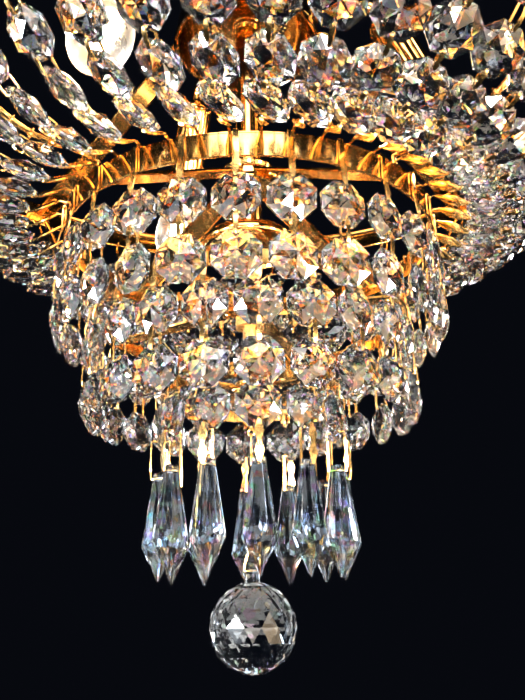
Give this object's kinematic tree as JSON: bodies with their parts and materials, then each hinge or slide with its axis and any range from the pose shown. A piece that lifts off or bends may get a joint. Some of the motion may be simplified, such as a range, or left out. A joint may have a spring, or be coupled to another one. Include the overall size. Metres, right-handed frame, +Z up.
{
  "type": "crystal basket chandelier",
  "caption": "Compact ceiling chandelier: brass basket frame on a stem, sagging crystal strings, hung tiers, a ring of swinging prisms and a faceted ball.",
  "frame": {"origin": "centre of the ceiling bracket's flat top face, on the ceiling plane, on the stem's axis", "axes": "+Z up, out of the bracket towards the ceiling; -Y is the front; the chandelier hangs along -Z"},
  "size_m": [0.3012, 0.3012, 0.3001],
  "materials": {
    "brass": "polished",
    "brass_rod": "polished, deeper tone",
    "crystal": "cut and polished lead crystal",
    "lamp_glass": "frosted, glowing warm white",
    "steel": "zinc plated"
  },
  "bodies": {
    "frame": {"ceiling_bracket": "steel", "canopy": "brass", "canopy_nut": "brass", "stem_tube": "brass", "stem_sleeve": "brass", "outer_frame": "brass", "lamp_bell": "brass", "lamp_holder_1": "brass", "lamp_holder_2": "brass", "lamp_holder_3": "brass", "lamp_1": "lamp_glass", "lamp_2": "lamp_glass", "lamp_3": "lamp_glass", "lower_rod": "brass_rod", "stem_cap": "brass", "lock_nut": "brass_rod", "finial_nut": "brass", "ring_a": "brass", "ring_b": "brass", "ring_c": "brass", "basket_strings_1": "crystal", "basket_strings_2": "crystal", "basket_strings_3": "crystal", "basket_strings_4": "crystal", "tier_a_strings": "crystal", "tier_b_strings": "crystal", "ball_hook": "brass"},
    "prism_link_1": {"prism_link_1": "crystal"},
    "prism_1": {"prism_1": "crystal"},
    "prism_link_2": {"prism_link_2": "crystal"},
    "prism_2": {"prism_2": "crystal"},
    "prism_link_3": {"prism_link_3": "crystal"},
    "prism_3": {"prism_3": "crystal"},
    "prism_link_4": {"prism_link_4": "crystal"},
    "prism_4": {"prism_4": "crystal"},
    "prism_link_5": {"prism_link_5": "crystal"},
    "prism_5": {"prism_5": "crystal"},
    "prism_link_6": {"prism_link_6": "crystal"},
    "prism_6": {"prism_6": "crystal"},
    "prism_link_7": {"prism_link_7": "crystal"},
    "prism_7": {"prism_7": "crystal"},
    "prism_link_8": {"prism_link_8": "crystal"},
    "prism_8": {"prism_8": "crystal"},
    "prism_link_9": {"prism_link_9": "crystal"},
    "prism_9": {"prism_9": "crystal"},
    "prism_link_10": {"prism_link_10": "crystal"},
    "prism_10": {"prism_10": "crystal"},
    "prism_link_11": {"prism_link_11": "crystal"},
    "prism_11": {"prism_11": "crystal"},
    "prism_link_12": {"prism_link_12": "crystal"},
    "prism_12": {"prism_12": "crystal"},
    "ball_link_upper": {"ball_link_upper": "brass"},
    "ball_link_lower": {"ball_link_lower": "brass"},
    "ball": {"ball": "crystal"}
  },
  "joints": [
    {"name": "link_1_swing", "type": "hinge", "parent": "frame", "child": "prism_link_1", "pos_m": [0.00257, -0.02939, -0.2138], "axis": [-0.9962, -0.0872, 0], "range_deg": [-6, 25]},
    {"name": "prism_1_sway", "type": "hinge", "parent": "prism_link_1", "child": "prism_1", "pos_m": [0.00257, -0.02939, -0.241], "axis": [0.0872, -0.9962, 0], "range_deg": [-6, 6]},
    {"name": "link_2_swing", "type": "hinge", "parent": "frame", "child": "prism_link_2", "pos_m": [0.01692, -0.02416, -0.2138], "axis": [-0.8192, -0.5736, 0], "range_deg": [-6, 25]},
    {"name": "prism_2_sway", "type": "hinge", "parent": "prism_link_2", "child": "prism_2", "pos_m": [0.01692, -0.02416, -0.241], "axis": [0.5736, -0.8192, 0], "range_deg": [-6, 6]},
    {"name": "link_3_swing", "type": "hinge", "parent": "frame", "child": "prism_link_3", "pos_m": [0.02674, -0.01247, -0.2138], "axis": [-0.4226, -0.9063, 0], "range_deg": [-6, 25]},
    {"name": "prism_3_sway", "type": "hinge", "parent": "prism_link_3", "child": "prism_3", "pos_m": [0.02674, -0.01247, -0.241], "axis": [0.9063, -0.4226, 0], "range_deg": [-6, 6]},
    {"name": "link_4_swing", "type": "hinge", "parent": "frame", "child": "prism_link_4", "pos_m": [0.02939, 0.00257, -0.2138], "axis": [0.0872, -0.9962, 0], "range_deg": [-6, 25]},
    {"name": "prism_4_sway", "type": "hinge", "parent": "prism_link_4", "child": "prism_4", "pos_m": [0.02939, 0.00257, -0.241], "axis": [0.9962, 0.0872, 0], "range_deg": [-6, 6]},
    {"name": "link_5_swing", "type": "hinge", "parent": "frame", "child": "prism_link_5", "pos_m": [0.02416, 0.01692, -0.2138], "axis": [0.5736, -0.8192, 0], "range_deg": [-6, 25]},
    {"name": "prism_5_sway", "type": "hinge", "parent": "prism_link_5", "child": "prism_5", "pos_m": [0.02416, 0.01692, -0.241], "axis": [0.8192, 0.5736, 0], "range_deg": [-6, 6]},
    {"name": "link_6_swing", "type": "hinge", "parent": "frame", "child": "prism_link_6", "pos_m": [0.01247, 0.02674, -0.2138], "axis": [0.9063, -0.4226, 0], "range_deg": [-6, 25]},
    {"name": "prism_6_sway", "type": "hinge", "parent": "prism_link_6", "child": "prism_6", "pos_m": [0.01247, 0.02674, -0.241], "axis": [0.4226, 0.9063, 0], "range_deg": [-6, 6]},
    {"name": "link_7_swing", "type": "hinge", "parent": "frame", "child": "prism_link_7", "pos_m": [-0.00257, 0.02939, -0.2138], "axis": [0.9962, 0.0872, 0], "range_deg": [-6, 25]},
    {"name": "prism_7_sway", "type": "hinge", "parent": "prism_link_7", "child": "prism_7", "pos_m": [-0.00257, 0.02939, -0.241], "axis": [-0.0872, 0.9962, 0], "range_deg": [-6, 6]},
    {"name": "link_8_swing", "type": "hinge", "parent": "frame", "child": "prism_link_8", "pos_m": [-0.01692, 0.02416, -0.2138], "axis": [0.8192, 0.5736, 0], "range_deg": [-6, 25]},
    {"name": "prism_8_sway", "type": "hinge", "parent": "prism_link_8", "child": "prism_8", "pos_m": [-0.01692, 0.02416, -0.241], "axis": [-0.5736, 0.8192, 0], "range_deg": [-6, 6]},
    {"name": "link_9_swing", "type": "hinge", "parent": "frame", "child": "prism_link_9", "pos_m": [-0.02674, 0.01247, -0.2138], "axis": [0.4226, 0.9063, 0], "range_deg": [-6, 25]},
    {"name": "prism_9_sway", "type": "hinge", "parent": "prism_link_9", "child": "prism_9", "pos_m": [-0.02674, 0.01247, -0.241], "axis": [-0.9063, 0.4226, 0], "range_deg": [-6, 6]},
    {"name": "link_10_swing", "type": "hinge", "parent": "frame", "child": "prism_link_10", "pos_m": [-0.02939, -0.00257, -0.2138], "axis": [-0.0872, 0.9962, 0], "range_deg": [-6, 25]},
    {"name": "prism_10_sway", "type": "hinge", "parent": "prism_link_10", "child": "prism_10", "pos_m": [-0.02939, -0.00257, -0.241], "axis": [-0.9962, -0.0872, 0], "range_deg": [-6, 6]},
    {"name": "link_11_swing", "type": "hinge", "parent": "frame", "child": "prism_link_11", "pos_m": [-0.02416, -0.01692, -0.2138], "axis": [-0.5736, 0.8192, 0], "range_deg": [-6, 25]},
    {"name": "prism_11_sway", "type": "hinge", "parent": "prism_link_11", "child": "prism_11", "pos_m": [-0.02416, -0.01692, -0.241], "axis": [-0.8192, -0.5736, 0], "range_deg": [-6, 6]},
    {"name": "link_12_swing", "type": "hinge", "parent": "frame", "child": "prism_link_12", "pos_m": [-0.01247, -0.02674, -0.2138], "axis": [-0.9063, 0.4226, 0], "range_deg": [-6, 25]},
    {"name": "prism_12_sway", "type": "hinge", "parent": "prism_link_12", "child": "prism_12", "pos_m": [-0.01247, -0.02674, -0.241], "axis": [-0.4226, -0.9063, 0], "range_deg": [-6, 6]},
    {"name": "ball_chain_swing", "type": "hinge", "parent": "frame", "child": "ball_link_upper", "pos_m": [0, 0, -0.22615], "axis": [1, 0, 0], "range_deg": [-10, 10]},
    {"name": "ball_chain_sway", "type": "hinge", "parent": "ball_link_upper", "child": "ball_link_lower", "pos_m": [0, 0, -0.24765], "axis": [0, 1, 0], "range_deg": [-10, 10]},
    {"name": "ball_swing", "type": "hinge", "parent": "ball_link_lower", "child": "ball", "pos_m": [0, 0, -0.26935], "axis": [1, 0, 0], "range_deg": [-12, 12]}
  ]
}
